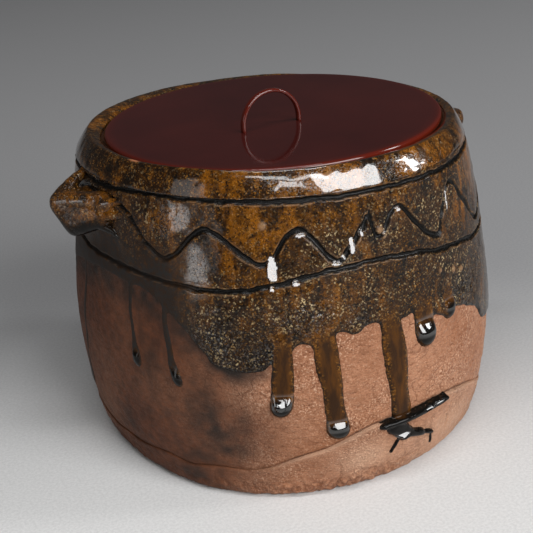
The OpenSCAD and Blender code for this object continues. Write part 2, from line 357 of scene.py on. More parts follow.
def clayMaterial(name, grit):
    look = clayLook
    material, tree, shader, where = newMaterial(name)
    broad, middle, fine, coarse, patchy = grains(
        where, look, "broad", "middle", "fine", "coarse", "patchy")
    level = put(tree, "Mapping", {"Vector": where, "Scale": look["flatten"]}).outputs["Vector"]
    drag, = grains(level, look, "drag")  # level tears of the wiped clay
    smoke, torn = field(tree, "smoke"), field(tree, "torn")
    swirl = put(tree, "TexNoise", {"Vector": where, "Scale": look["swirl"]}).outputs["Color"]
    bent = put(tree, "VectorMath", {0: swirl, 1: look["bend"], 2: where}, operation="MULTIPLY_ADD")
    inputs = {"Vector": bent.outputs["Vector"], "Scale": look["crackle"]}
    edge = put(tree, "TexVoronoi", inputs, feature="DISTANCE_TO_EDGE").outputs["Distance"]
    crackle = times(between(edge, 0.035, 0.0), between(broad, 0.46, 0.60))
    rough = between(patchy, 0.44, 0.60, 0.3, 1.0)  # coarser in places
    # copper with paler and rust-red blotches, darker in the hollows of the drag tears: painted shade
    colour = layered(look, look["copper"], [
        ("pale", broad, 0.36, 0.66, 1.0), ("rustAndShade", middle, 0.50, 0.34, 0.25),
        ("rustAndShade", drag, 0.46, 0.36, 0.55)])
    # painted glints on the raised points of the fine grain, and painted shade in its pits
    colour = tint(times(rough, between(fine, 0.54, 0.66)), colour, look["glint"])
    colour = tint(times(rough, between(fine, 0.45, 0.34)), colour, look["rustAndShade"])
    # painted light, in the glint colour, on the base's upper edge and in two patches on the foot
    colour = tint(field(tree, "paintedLight"), colour, look["glint"])
    colour = tint(times(crackle, 0.6), colour, look["rustAndShade"])
    # on the torn foot: pale on the lumps' tops and dark between them, painted light and shade
    tornLitAndShaded = layered(look, look["rustAndShade"], [("pale", coarse, 0.42, 0.62, 1.0)])
    colour = tint(times(torn, 0.6), colour, tornLitAndShaded)
    flashed = layered(look, look["brown"], [("rustAndShade", middle, 0.4, 0.8, 1.0)])
    colour = tint(smoke, colour, flashed)
    # soot marks, with painted shade along the seam and under the lid
    colour = tint(field(tree, "sootAndShade"), colour, look["sootAndShade"])
    matt = plus(between(drag, 0.65, 0.35, *look["roughness"]), times(smoke, 0.2))
    height = plus(drag, times(fine, times(rough, grit)))
    height = plus(height, times(coarse, torn))
    height = plus(height, times(crackle, -0.12))
    height = times(height, between(smoke, 0.0, 1.0, 1.0, 0.35))
    feed(shader, {"Base Color": colour, "Roughness": matt, "Specular IOR Level": look["sheen"],
                  "Normal": bump(height, *look["bump"])})
    return material


# ash glaze, amber over black, granular where it is dull, with a gravelly crust near its lower edge
glazeLook = {
    "amber": (0.195, 0.066, 0.004), "honey": (0.34, 0.150, 0.024), "brown": (0.026, 0.0100, 0.0024),
    # the sand colour is pale grains, brightened so that it also paints their glints
    "black": (0.004, 0.0035, 0.003), "dust": (0.050, 0.027, 0.014), "sandAndGlint": (0.48, 0.36, 0.19),
    "charcoal": (0.0180, 0.0160, 0.0148), "tan": (0.30, 0.17, 0.085), "clay": (0.45, 0.17, 0.075),
    # scale, detail and roughness of each noise
    "broad": (70, 5, 0.62), "streak": (240, 5, 0.62), "mottle": (420, 5, 0.68), "fine": (1300, 3, 0.7),
    "patch": (105, 5, 0.65), "clump": (150, 4, 0.65), "wavy": (240, 1.5, 0.5),
    "stretch": (1.0, 1.0, 0.22), "gravel": 1550.0, "specks": 1900.0,
    "roughness": (0.07, 0.55), "ior": 1.36, "sheen": 0.25, "coatIor": 1.75, "coatRoughness": 0.03,
    "waveHeight": 0.10, "pitDepth": 0.05, "gravelHeight": 0.26, "bump": (0.001, 1.0),
}


def glazeMaterial():
    look = glazeLook
    material, tree, shader, where = newMaterial("ash glaze")
    flow = put(tree, "Mapping", {"Vector": where, "Scale": look["stretch"]}).outputs["Vector"]
    broad, mottle, fine, patch, clump, wavy = grains(
        where, look, "broad", "mottle", "fine", "patch", "clump", "wavy")
    streak, = grains(flow, look, "streak")
    shade = randomCells(where, look["gravel"])[0]
    speckRed, speckGreen, speckBlue = randomCells(where, look["specks"])
    sandy, smoke, dull, ink, run, grit, black = (
        field(tree, name) for name in ("sandy", "smoke", "dull", "ink", "run", "grit", "black"))
    warm = plus(field(tree, "warm"), between(broad, 0.3, 0.7, -0.45, 0.45))
    warm = plus(warm, between(streak, 0.3, 0.7, -0.55, 0.55))
    colour = layered(look, look["brown"], [
        ("amber", warm, 0.05, 1.0, 1.0), ("honey", mottle, 0.58, 0.70, 0.5),
        ("black", mottle, 0.46, 0.36, 0.9), ("black", speckGreen, 0.72, 1.0, 0.8),
        ("honey", speckRed, 0.88, 1.0, 0.55), ("black", patch, 0.50, 0.38, 0.7)])
    grainy = layered(look, look["brown"], [
        ("dust", fine, 0.42, 0.64, 1.0), ("black", patch, 0.46, 0.36, 0.8),
        ("sandAndGlint", speckBlue, 0.88, 1.0, 0.6), ("black", mottle, 0.46, 0.36, 0.9)])
    colour = tint(times(dull, between(mottle, 0.36, 0.56, 0.2, 1.0)), colour, grainy)
    dark = times(grit, between(clump, 0.56, 0.42, 0.35, 1.0))
    pale = times(grit, between(clump, 0.46, 0.60, 0.25, 1.0))
    colour = tint(times(dark, between(shade, 0.60, 0.15)), colour, look["black"])
    # pale sand grains in the gravel, partly painted glints
    colour = tint(times(pale, between(shade, 0.88, 0.96, 0.0, 0.8)), colour, look["sandAndGlint"])
    crust = layered(look, look["black"], [("brown", shade, 0.35, 0.7, 0.6)])
    crust = tint(times(pale, between(shade, 0.75, 0.88)), crust, look["sandAndGlint"])
    sandyHere = times(sandy, between(mottle, 0.36, 0.54, 0.2, 1.0))
    colour = tint(sandyHere, colour, crust)
    edges = layered(look, look["brown"], [
        ("amber", mottle, 0.44, 0.70, 1.0), ("honey", shade, 0.75, 1.0, 0.7),
        ("black", shade, 0.25, 0.0, 0.9)])
    middle = layered(look, look["brown"], [("amber", streak, 0.42, 0.72, 0.4)])
    colour = tint(run, colour, tint(field(tree, "lane"), edges, middle))
    veil = layered(look, look["charcoal"], [("brown", mottle, 0.40, 0.66, 1.0)])
    colour = tint(smoke, colour, veil)
    colour = tint(field(tree, "burr"), colour, look["tan"])
    colour = tint(larger(ink, black), colour, look["black"])
    colour = tint(field(tree, "chip"), colour, look["clay"])
    matt = larger(smoke, times(larger(sandyHere, ink), 0.4))
    matt = larger(matt, times(dull, 0.2))
    glassy = times(sandyHere, between(speckBlue, 0.66, 0.76, 0.0, 0.8))
    # height in millimetres
    waves = between(wavy, 0.0, 1.0, 0.0, look["waveHeight"])
    pits = between(fine, 0.44, 0.32, 0.0, -look["pitDepth"])
    gravel = times(shade, times(larger(sandyHere, grit), look["gravelHeight"]))
    height = plus(plus(waves, pits), gravel)
    smooth = larger(field(tree, "polish"), larger(black, smoke))
    height = times(height, between(smooth, 0.0, 1.0, 1.0, 0.15))
    height = plus(height, field(tree, "shine"))
    relief = bump(height, *look["bump"])
    feed(shader, {"Base Color": colour, "Roughness": between(matt, 0.0, 1.0, *look["roughness"]),
                  "Normal": relief, "IOR": look["ior"], "Specular IOR Level": look["sheen"],
                  "Coat Weight": larger(field(tree, "wet"), glassy), "Coat Normal": relief,
                  "Coat IOR": look["coatIor"], "Coat Roughness": look["coatRoughness"]})
    return material


# lacquer, deep red-brown and polished like a mirror, worn redder at its edges
lacquerLook = {
    "deep": (0.034, 0.0060, 0.0055), "warm": (0.050, 0.0085, 0.0070), "worn": (0.11, 0.011, 0.004),
    "broad": (16, 3, 0.5), "fine": (420, 3, 0.6),  # scale, detail and roughness
    "roughness": (0.05, 0.11), "ior": 1.5, "bump": (0.0008, 0.12),
}


def lacquerMaterial():
    look = lacquerLook
    material, tree, shader, where = newMaterial("polished lacquer")
    broad, fine = grains(where, look, "broad", "fine")
    colour = layered(look, look["deep"], [
        ("warm", broad, 0.35, 0.65, 1.0), ("worn", fine, 0.62, 0.8, 0.25)])
    colour = tint(field(tree, "worn"), colour, look["worn"])
    feed(shader, {"Base Color": colour, "Roughness": between(fine, 0.3, 0.7, *look["roughness"]),
                  "IOR": look["ior"], "Normal": bump(broad, *look["bump"])})
    return material


# thin olive glaze inside the jar
liningLook = {
    "olive": (0.16, 0.11, 0.035), "dark": (0.06, 0.04, 0.014), "pit": (0.02, 0.015, 0.008),
    "broad": (40, 5, 0.6), "fine": (500, 4, 0.6),  # scale, detail and roughness
    "roughness": (0.12, 0.25), "bump": (0.0006, 0.35),
}


def liningMaterial():
    look = liningLook
    material, tree, shader, where = newMaterial("inner glaze")
    broad, fine = grains(where, look, "broad", "fine")
    colour = layered(look, look["dark"], [
        ("olive", broad, 0.35, 0.65, 1.0), ("pit", fine, 0.55, 0.75, 0.5)])
    feed(shader, {"Base Color": colour, "Roughness": between(fine, 0.3, 0.7, *look["roughness"]),
                  "Normal": bump(fine, *look["bump"])})
    return material


# carved lines: (direction, height) of their bends
carving = {
    "core": 1.12, "half": 1.4, "depth": 1.2, "burr": 0.22, "arm": 88, "wobble": 0.3,
    "ragged": [(0.2, 5, 34), (0.14, 1.6, 36)],
    "upper": [(-172, 130), (-155, 131.3), (-130, 131), (-105, 130.3), (-80, 129.7), (-60, 129),
              (-40, 129.5), (30, 131), (90, 131), (150, 131)],
    "lower": [(-180, 98), (-165, 98), (-150, 97), (-128, 96.5), (-118, 99), (-105, 102.3), (-90, 102.4),
              (-82, 100.7), (-72, 97), (-60, 94), (-47, 90.5), (-30, 92), (0, 96), (60, 99), (120, 101),
              (160, 100)],
    "wave": [(-177, 126), (-164, 123), (-154, 110), (-149, 106.5), (-145.5, 108.5), (-141, 116),
             (-137, 119.5), (-133, 118), (-126, 110), (-121.5, 107), (-119, 109), (-115, 117),
             (-112, 119.5), (-109, 116), (-105, 107.5), (-102.5, 105.5), (-100, 109), (-95, 118),
             (-93.4, 120), (-92, 113), (-90, 113), (-87, 119.5), (-84, 121), (-80, 114), (-74, 105),
             (-70.5, 104), (-68.5, 112), (-65.5, 121), (-63.5, 122), (-56, 110), (-47, 97),
             (-38, 103), (-26, 119), (-13, 106), (0, 119), (13, 106), (26, 120), (40, 105),
             (54, 121), (68, 106), (81, 119), (94, 106), (108, 121), (122, 107), (136, 120),
             (149, 108), (163, 121)],
}


def lineGap(theta, z, marks, seed):  # distance to a carved line along the wall
    slope = slopeAlong(marks, theta, 0.3, carving["arm"])
    wobble = carving["wobble"] * ringNoise(theta, 150, seed)
    return np.abs(z - aroundThrough(marks, theta) - wobble) / np.sqrt(1 + slope**2)


def carvedLines(theta, z):
    seeds = {"upper": 31, "lower": 32, "wave": 33}
    gap = np.minimum.reduce([lineGap(theta, z, carving[line], seed) for line, seed in seeds.items()])
    gap = gap * (1 + lumps(theta, z, carving["ragged"]))
    core, half = carving["core"], carving["half"]
    groove = 1 - rise(core * 0.3, half, gap)
    ink = 1 - rise(core * 0.85, core * 1.15, gap)
    burr = rise(core, core * 1.2, gap) * (1 - rise(half, half * 1.25, gap))
    burr = burr * np.clip(0.45 + 1.3 * wallNoise(theta, z, 4, 35), 0, 1)
    return groove, ink, burr


# the glaze: where it ends, its runs and the pool at the seam
coat = {
    "columns": 1200, "rows": 290, "lipRows": 50, "lowest": 8,
    "thick": 0.75, "thinLeft": 0.2, "runThick": 0.5, "beadThick": 2.3, "poolThick": 1.2,
    "stoneThick": 0.6,
    "round": 1.5, "runRound": 3.2, "runTop": 80, "runArm": 95, "dropStretch": 1.35, "dropPeak": 0.52,
    "shineArm": 91, "lumps": [(0.12, 5, 81)], "crustLumps": [(0.34, 1.6, 82), (0.22, 3.4, 93)],
    # chip on the lip: direction, half width, turn, half turn
    "chip": (-163, 1.9, 96, 14), "lipDull": -137,
    # lower edge: (direction, height) of its bends
    "edge": [(-194, 88), (-176, 92), (-163, 92), (-156, 91), (-148, 85), (-142, 77), (-137, 69),
             (-133, 64.5), (-127, 62), (-123, 64.5), (-119, 72), (-114, 74), (-109, 72), (-105, 77),
             (-101, 75.5), (-97, 78), (-90, 76), (-82, 76), (-76, 71), (-70, 68), (-64, 66), (-55, 60),
             (-47, 49), (-38, 46), (-20, 53), (0, 62), (30, 68), (60, 72), (90, 66), (120, 62), (150, 80)],
    # direction at the top and at the end, width, end height, bead
    "runs": [(-190, -197, 6, 22, 0.3), (-162, -159.7, 5.2, 55.5, 0.9), (-149, -145.8, 5.6, 52.5, 0.9),
             (-117.5, -119.6, 9, 42.5, 1.0), (-108.5, -105.6, 10, 28, 1.0), (-90.7, -88, 11.5, 28.6, 0.0),
             (-79.8, -79.3, 11, 58.5, 1.0), (-70, -69.5, 8, 65, 0.7), (60, 60, 9, 43, 0.9),
             (118, 118, 8, 51, 0.9)],
    # pool: from direction and height to direction and height, half width
    "pool": [(-94, 29.6, -73.5, 30.2, 1.7), (-90.5, 27.5, -87, 22, 3.6), (-87, 22, -81.5, 18.5, 1.9),
             (-89, 20.5, -91.2, 14.5, 0.6), (-81.5, 18.5, -77.4, 15.5, 0.9), (-77.4, 15.5, -77, 9.5, 0.45)],
    # shining places: direction, height, half width, half height, slope up, slope to the right
    "shines": [(-119.2, 105.8, 1.9, 5.0, 0.26, 0.35), (-111.6, 117.4, 2.2, 0.8, 0.25, 0.2),
               (-99.2, 110.6, 1.1, 3.4, 0.28, 0.0), (-101.6, 106.8, 0.9, 1.2, 0.27, 0.0),
               (-119.6, 97.4, 1.1, 1.0, 0.28, 0.35), (-113.4, 99.0, 1.6, 1.0, 0.27, 0.25),
               (-103.6, 104.6, 1.8, 0.8, 0.28, 0.08), (-96.4, 115.2, 0.9, 2.0, 0.27, -0.06),
               (-89.6, 113.2, 0.8, 1.5, 0.27, -0.2), (-84.6, 120.2, 1.6, 0.7, 0.22, -0.3),
               (-66.4, 116, 0.6, 6.0, 0.5, -0.75), (-119.6, 49.6, 1.7, 2.6, 0.15, 0.35),
               (-78, 30.4, 5.5, 0.9, 1.0, -0.4), (-88.4, 22.0, 3.2, 1.7, 1.0, -0.3)],
    # wet sheen: direction, height, half width, half height
    "sheens": [(-146, 123, 11, 7), (-139, 103, 6, 11)],
    # pale stones: direction, height, radius
    "stones": [(-121, 122, 1.5), (-91, 114, 1.7), (-66, 85, 1.5), (-62, 83, 1.3), (-90, 111.5, 1.1),
               (-72, 88, 1.0), (40, 100, 1.4), (130, 112, 1.5), (-10, 84, 1.2)],
    # brighter amber: direction, height, half width, half height
    "amber": [(-126, 121, 20, 10), (-110, 90, 8, 12), (0, 118, 40, 14), (110, 112, 40, 14)],
    # granular and dull: direction, height, half width, half height, strength
    "dulls": [(-105, 110, 13, 9, 1.0), (-90, 115, 14, 8, 0.9), (-72, 112, 13, 10, 0.9),
              (-112, 101, 12, 6, 0.7), (-97, 90, 18, 8, 0.5), (-66, 88, 14, 10, 0.8),
              (-142, 104, 7, 6, 0.4), (50, 108, 40, 12, 0.8)],
    # sandy crust: direction, height, half width, half height
    "crust": [(-135, 74, 20, 15), (-124, 70, 12, 9), (-100, 80, 10, 7), (-62, 74, 14, 9), (-112, 84, 14, 8),
              (20, 74, 30, 10), (95, 74, 30, 12)],
}


def smoothMax(a, b, k):
    h = np.clip(0.5 + 0.5 * (a - b) / k, 0, 1)
    return b * (1 - h) + a * h + k * h * (1 - h)


def strokeDepth(theta, z, d1, z1, d2, z2, half):  # depth inside a rounded stroke on the wall
    x, y = acrossWall(theta, d1), z - z1
    dx, dy = math.radians(d2 - d1) * wallArm, z2 - z1
    t = np.clip((x * dx + y * dy) / (dx * dx + dy * dy), 0, 1)
    return half - np.hypot(x - t * dx, y - t * dy)


def glazeCover(theta, z):
    left = leftSide(theta)
    slope = slopeAlong(coat["edge"], theta, 0.4, wallArm)
    ragged = 1.3 * ringNoise(theta, 80, 41) + 0.7 * wallNoise(theta, z, 3, 42)
    edge = aroundThrough(coat["edge"], theta) + (1 - 0.8 * left) * ragged
    inside = (z - edge) / np.sqrt(1 + slope**2)
    cover = {name: 0 * z for name in ("run", "bead", "lane", "pool", "dome", "cap")}

    def widen(name, amount):
        cover[name] = np.maximum(cover[name], amount)

    start, peak = coat["runTop"], coat["dropPeak"]
    for i, (top, end, width, low, size) in enumerate(coat["runs"]):
        direction = top + (end - top) * np.clip((start - z) / (start - low), 0, 1)
        across = acrossWall(theta, direction, coat["runArm"]) + 0.5 * wallNoise(theta, z, 9, 43 + i)
        half = width / 2 * (0.9 + 0.1 * np.cos(z / 7 + low))
        half = half * (1 - 0.45 * left * rise(low + 7, low + 15, z))  # a thin trail above the drop
        half = half * (1 + 0.06 * size * np.exp(-((z - low - half) / half) ** 2))
        depth = half - np.hypot(across, np.minimum((z - low) / coat["dropStretch"] - half, 0))
        depth = np.where(z > start + 12, -9, depth)
        inside = smoothMax(inside, depth, 2.0)
        here = rise(-0.4, 0.8, depth) * rise(84, 70, z)
        widen("run", here)
        widen("lane", here * (1 - rise(0.4, 0.95, np.abs(across) / half)))
        down = (z - low) / ((2.4 + 1.4 * left) * half)  # a drop, thickest near its lower end
        bulge = roundOver(down / peak) * (1 - rise(peak, 1.0, down))
        widen("bead", size * bulge * roundOver(depth / half))
        cap = rise(0.40, 0.52, down) * (1 - rise(0.95, 1.1, down)) * rise(0, 0.5, depth)
        widen("cap", size * cap * (1 - 0.95 * left))
    for *stroke, half in coat["pool"]:
        wavy = min(0.6, 0.25 * half) * wallNoise(theta, z, 2.5, 60)
        depth = strokeDepth(theta, z, *stroke, half) + wavy
        inside = smoothMax(inside, depth, 0.8)
        widen("pool", rise(-0.6, 0.1, depth))
        widen("dome", min(half, 1.5) * roundOver(depth / half))
    return inside, cover


def shining(theta, z):  # tilt of the glaze, in mm, where a smooth patch turns to the light
    tilt = 0 * z
    for d, h, wide, tall, up, right in coat["shines"]:
        u = acrossWall(theta, d, coat["shineArm"]) + 0.45 * wallNoise(theta, z, 4, 96)
        v = z - h
        out = np.abs(u / wide) ** 3 + np.abs(v / tall) ** 3 + 0.5 * wallNoise(theta, z, 2.4, 99)
        tilt = np.where(out < 1, -up * v - right * u, tilt)
    return tilt


def makeGlaze(material):
    theta = np.linspace(-180, 180, coat["columns"], endpoint=False)[None, :]
    z = np.linspace(coat["lowest"], jar["lipFrom"], coat["rows"])[:, None] + 0 * theta
    th = theta + 0 * z
    smoky = leftSide(th)
    shine = shining(th, z)
    shiny = shine != 0
    groove, ink, burr = (line * ~shiny for line in carvedLines(th, z))
    inside, cover = glazeCover(th, z)
    left = smoky * rise(122, 96, z + 6 * wallNoise(th, z, 20, 85))
    run, bead = cover["run"], cover["bead"]
    plain = (1 - run) * (1 - left)
    crust = strongest(th, z, coat["crust"]) * (1.05 + 0.5 * wallNoise(th, z, 7, 84))
    sandy = np.clip(np.maximum(0.08 + 0.16 * wallNoise(th, z, 16, 83), crust), 0, 1) * plain
    full = coat["thick"] * (1 - left) + coat["thinLeft"] * left + coat["runThick"] * run * (1 - left)
    full = full + lumps(th, z, coat["lumps"]) + sandy * lumps(th, z, coat["crustLumps"])
    reach = inside / np.where(run > 0.5, coat["runRound"], coat["round"] * (1 + 2 * left))
    thick = np.where(inside > 0, full * roundOver(reach), np.maximum(inside, -0.6))
    dome = np.where(shiny, np.minimum(cover["dome"], 0.9), cover["dome"])
    thick = thick + coat["beadThick"] * bead * (1 - 0.4 * left) + coat["poolThick"] * dome * (inside > 0)
    stone = rise(0.1, 0.7, strongest(th, z, [(*mark, mark[-1]) for mark in coat["stones"]]))
    thick = thick + coat["stoneThick"] * stone
    onBase = baseOut(th, z) * rise(0.4, -0.4, z - seamHeight(th))
    out = thick + onBase - carving["depth"] * groove + carving["burr"] * burr * (1 - left)
    wall = wallPoint(th, z, out)

    turn = np.linspace(3, 176, coat["lipRows"])[:, None] + 0 * theta
    lipTheta = theta + 0 * turn
    lipSmoky, zero = leftSide(lipTheta), 0 * turn
    lumpy = 1 + 0.11 * lipNoise(lipTheta, turn, 150, 8, 86)
    lip = lipPoint(lipTheta, turn, coat["thick"] * rise(176, 150, turn) * lumpy)
    chipDir, chipWide, chipTurn, chipTall = coat["chip"]
    chip = (turnFrom(lipTheta, chipDir) / chipWide) ** 4 + ((turn - chipTurn) / chipTall) ** 4
    chip = np.exp(-chip)
    lipSandy = np.clip(0.1 + 0.2 * lipNoise(lipTheta, turn, 36, 3, 88), 0, 1)
    lipWarm = 0.28 + 0.35 * lipNoise(lipTheta, turn, 40, 3, 88)
    lipWarm = lipWarm + 0.25 * lipNoise(lipTheta, turn, 130, 5, 97)
    lipWet = (1 - 0.5 * lipSmoky) * (1 - 0.75 * rise(16, 8, np.abs(turnFrom(lipTheta, coat["lipDull"]))))

    right = rise(-100, -80, th) * rise(-20, -40, th) * rise(104, 96, z)
    warm = 0.14 - 0.5 * right - 0.35 * spot(th, z, -90, 112, 24, 10) - 0.25 * smoky
    warm = warm + 0.4 * wallNoise(th, z, 24, 89) + 0.3 * softNoise(th / 360, z / wallTall, 190, 5, 92)
    warm = warm + 0.6 * sum(spot(th, z, *mark) for mark in coat["amber"])
    dull = strongest(th, z, coat["dulls"]) * (1.1 + 0.6 * wallNoise(th, z, 6, 95))
    dull = np.clip(np.maximum(0.12 * wallNoise(th, z, 14, 94), dull), 0, 1) * plain
    grit = 0.3 + 0.35 * wallNoise(th, z, 9, 98) + 0.5 * dull + 0.25 * rise(104, 92, z)
    grit = np.clip(grit, 0, 1) * plain * (1 - 0.7 * spot(th, z, *coat["amber"][0]))
    sheen = 2.2 * strongest(th, z, coat["sheens"]) - 0.6 + 0.5 * wallNoise(th, z, 3, 100)
    wet = np.maximum(np.maximum(cover["cap"], shiny), np.clip(sheen, 0, 0.9) * (1 - ink))
    black = np.maximum(np.clip(bead * 2.6 - 0.3, 0, 1), cover["pool"])
    black = np.maximum(black, (1 - rise(0.3, 2.2, inside)) * 0.85 * (1 - left) * (1 - 0.7 * run))
    # each field on the wall and on the lip
    fields = {
        "sandy": (sandy, lipSandy), "smoke": (left * (1 - np.clip(2 * bead, 0, 1)), zero),
        "warm": (warm, lipWarm - 0.25 * lipSmoky), "dull": (dull, zero),
        "polish": (np.maximum(run * (1 - left), shiny), 1 + zero), "grit": (grit, 0.25 + zero),
        "shine": (shine, zero), "ink": (ink * (1 - 0.5 * left), zero), "wet": (wet, lipWet),
        "run": (run * (1 - left), zero), "lane": (cover["lane"], zero),
        "burr": (np.maximum(0.5 * burr * (1 - 0.75 * smoky), 0.6 * stone), zero),
        "black": (black, zero), "chip": (0 * z, chip),
    }
    fields = {name: np.concatenate(pair) for name, pair in fields.items()}
    keep = np.concatenate([inside > -0.5, np.ones(lip.shape[:2], bool)])
    piece = gridPiece("ash-glaze", np.concatenate([wall, lip]), keep, fields=fields)
    dress(piece, "jar", "glaze_coat", material)


# the clay wall, with lip, lid seat, mouth and inside in one skin
clayWall = {
    "columns": 900, "rows": 220, "lipRows": 36, "grit": 0.45, "lumps": [(0.16, 1.7, 51), (0.2, 4.5, 52)],
    # smudges: direction, height, half width, half height, strength
    "smudges": [(-154, 60, 9, 9, 0.45), (-139, 43, 8, 12, 0.75), (-136, 33, 9, 8, 0.7),
                (-133, 25, 12, 4, 0.75), (-142, 19, 9, 4, 0.6), (-146, 8, 7, 4, 0.85),
                (-170, 22, 8, 7, 0.4), (-129, 41, 5, 16, 0.35)],
}


# soot marks on the clay, with a painted shadow line along the seam
def smudgesAndShade(theta, z):
    total = strongest(theta, z, clayWall["smudges"])
    under = aroundThrough(coat["edge"], theta) - z
    # smoke under the glaze's edge
    total = np.maximum(total, 0.75 * leftSide(theta) * rise(16, 1, under))
    beside = rise(24, 10, np.abs(turnFrom(theta, -137)))
    total = np.maximum(total, 0.8 * beside * rise(9, 0, under))
    line = np.exp(-((z - seamHeight(theta) - 0.5) / 0.6) ** 2)  # shade along the seam
    total = np.maximum(total, 0.6 * seamFront(theta) * line)
    return np.clip(total * (1 + 0.5 * wallNoise(theta, z, 4, 63)), 0, 1)


def smoking(theta, z):  # brown flashed clay on the left, back to copper behind
    t = turnFrom(theta, -182) + 5 * wallNoise(theta, z, 18, 61) - 0.10 * (z - 40)
    flash = 0.92 * rise(66, 46, t) * rise(-75, -45, t)
    return np.clip(flash + 0.15 * wallNoise(theta, z, 24, 62), 0, 1)


def makeClayWall(material):
    cols, rows = clayWall["columns"], clayWall["rows"]
    theta = np.linspace(0, 360, cols, endpoint=False)[None, :]
    low = seamHeight(theta)
    z = low + (jar["lipFrom"] - low) * np.linspace(0, 1, rows)[:, None]
    th = theta + 0 * z
    groove = carvedLines(th, z)[0]
    rough = 1 - 0.7 * smoking(th, z)
    out = -carving["depth"] * groove - 0.5 * np.exp(-(z - low) / 0.8)
    outer = wallPoint(th, z, out + rough * lumps(th, z, clayWall["lumps"]))
    turn = np.linspace(4, 180, clayWall["lipRows"])[:, None] + 0 * theta
    lip = lipPoint(theta + 0 * turn, turn, 0 * turn)
    side, mouth, ledge = jar["seatRadius"], jar["mouthRadius"], jar["ledge"]
    seat = [(side, jar["land"]), (side, ledge + 0.2), (side - 0.2, ledge),
            (mouth + 0.8, ledge), (mouth, ledge - 0.8), (mouth, jar["throat"])]
    rings = [levelRing(theta[0], radius, height) for radius, height in seat]
    for height in np.linspace(jar["throat"] - 12, 34, 12):
        rings.append(wallPoint(theta[0], np.full(cols, height), -jar["wall"]))
    rings.append(wallPoint(theta[0], low[0], -jar["wall"]))
    points = np.concatenate([outer, lip, rings, outer[:1]])
    rest = np.zeros((len(points) - rows, cols))
    fromSeat = np.arange(len(rest))[:, None] - len(turn)
    rim = rest + 0.6 * np.exp(-(fromSeat / 6.0) ** 2)  # painted shade where the lid rests on its seat
    fields = {"smoke": np.concatenate([smoking(th, z), rest + 0.5]),
              "sootAndShade": np.concatenate([smudgesAndShade(th, z), rim])}
    piece = gridPiece("clay-wall", points, fields=fields)
    dress(piece, "jar", "jar_wall", material)


# the base: a thick slab, torn and sandy at the foot, with drying cracks
clayBase = {
    "columns": 900, "rows": 76, "grit": 0.9, "foot": 3.0, "crackArm": 92, "crackHalf": 0.5,
    "tears": [(0.75, 2.8, 71), (0.5, 1.5, 72)], "lumps": [(0.14, 2.0, 74), (0.15, 6, 75)],
    # painted light on the foot: direction, height, half width, half height, strength
    "paintedLight": [(-68, 10, 30, 14, 0.45), (-99, 15, 14, 9, 0.5)],
    # cracks: direction, from height, to height, depth
    "cracks": [(-105.5, 1, 17, 0.8), (-92, 2, 13, 0.8), (-99, 9, 14, 0.4), (-70, 12, 24, 0.5),
               (-30, 2, 12, 0.5), (70, 2, 15, 0.7), (140, 3, 14, 0.5)],
}


def makeClayBase(material):
    cols, rows = clayBase["columns"], clayBase["rows"]
    theta = np.linspace(0, 360, cols, endpoint=False)[None, :]
    top = seamHeight(theta) - 0.15
    z = top * np.linspace(0, 1, rows)[:, None]
    th = theta + 0 * z
    out = baseOut(th, z) - 0.3 * np.exp(-(top - z) / 0.5)
    out = out - clayBase["foot"] * (1 - roundOver(z / clayBase["foot"]))
    torn = rise(13, 5, z + 2.5 * wallNoise(th, z, 9, 70)) * (1 - 0.6 * smoking(th, z))
    torn = torn * (1 - 0.8 * rise(34, 16, np.abs(turnFrom(th, -62))))
    out = out + torn * lumps(th, z, clayBase["tears"]) + lumps(th, z, clayBase["lumps"])
    bent = th + 0.9 * wallNoise(th, z, 4, 73)
    for direction, low, high, deep in clayBase["cracks"]:
        across = acrossWall(bent, direction, clayBase["crackArm"])
        along = rise(low - 2, low, z) * (1 - rise(high - 3, high, z))
        out = out - deep * np.exp(-(across / clayBase["crackHalf"]) ** 2) * along
    outer = wallPoint(th, z, out)
    under = [outer[0] * np.array([k, k, 1]) for k in (0.2, 0.6, 0.95)]
    rim = wallPoint(theta[0], top[0], -jar["wall"] + 0.2)
    floor = wallPoint(theta[0], np.full(cols, jar["floor"] + 2), -jar["wall"] - 1.2)
    well = floor * np.array([0.9, 0.9, 1]) - np.array([0, 0, 2.0])
    over = [rim, floor, well, well * np.array([0.2, 0.2, 1])]
    # painted highlight along the shelf's upper edge, where it catches the light
    paintedLight = 0.5 * seamFront(th) * np.exp(-(top - z) / 0.9)
    paintedLight = paintedLight + sum(spot(th, z, *mark) for mark in clayBase["paintedLight"])
    fields = {"smoke": smoking(th, z), "sootAndShade": smudgesAndShade(th, z), "torn": torn, "paintedLight": paintedLight}
    below, above = np.zeros((len(under), cols)), np.zeros((len(over), cols))
    fields = {name: np.concatenate([below, f, above]) for name, f in fields.items()}
    points = np.concatenate([under, outer, over])
    piece = gridPiece("clay-base", points, ends=(True, True), fields=fields)
    dress(piece, "jar", "jar_base", material)


# an ear: rolled lobes and finger smears, (out from the wall, along it, height, radius)
ear = {
    "rolls": [[(-1, -16, 130, 2.2), (4, -13, 128, 2.6)], [(4, -13, 128, 2.6), (10, -9, 125, 3.2)],
              [(10, -9, 125, 3.2), (13.8, -6, 122, 4.2)],
              [(13.8, -6, 122, 4.2), (6, 4, 123, 3.6), (-1, 12, 124, 3.4)],
              [(13.5, -6, 120.5, 4.4), (9, 0, 112, 4.8), (2, 9, 116, 4.8), (-1, 12, 120, 4.4),
               (-1, -10, 122, 3)]],
    "smears": [[(2, 11, 122, 3.4), (0.2, 18, 124, 2.0)], [(0.2, 18, 124, 2.0), (-0.9, 25, 126.5, 1.3)],
               [(2, 12, 118, 3.2), (0.1, 20, 119, 2.0)], [(0.1, 20, 119, 2.0), (-0.9, 28, 120.5, 1.3)],
               [(2, 9, 114, 3.2), (0.1, 16, 111.5, 2.0)], [(0.1, 16, 111.5, 2.0), (-0.9, 23, 108.5, 1.3)]],
    "voxel": 0.55, "lumps": 0.2, "lumpScale": 260, "arm": 91.0, "soften": (0.5, 12),
}


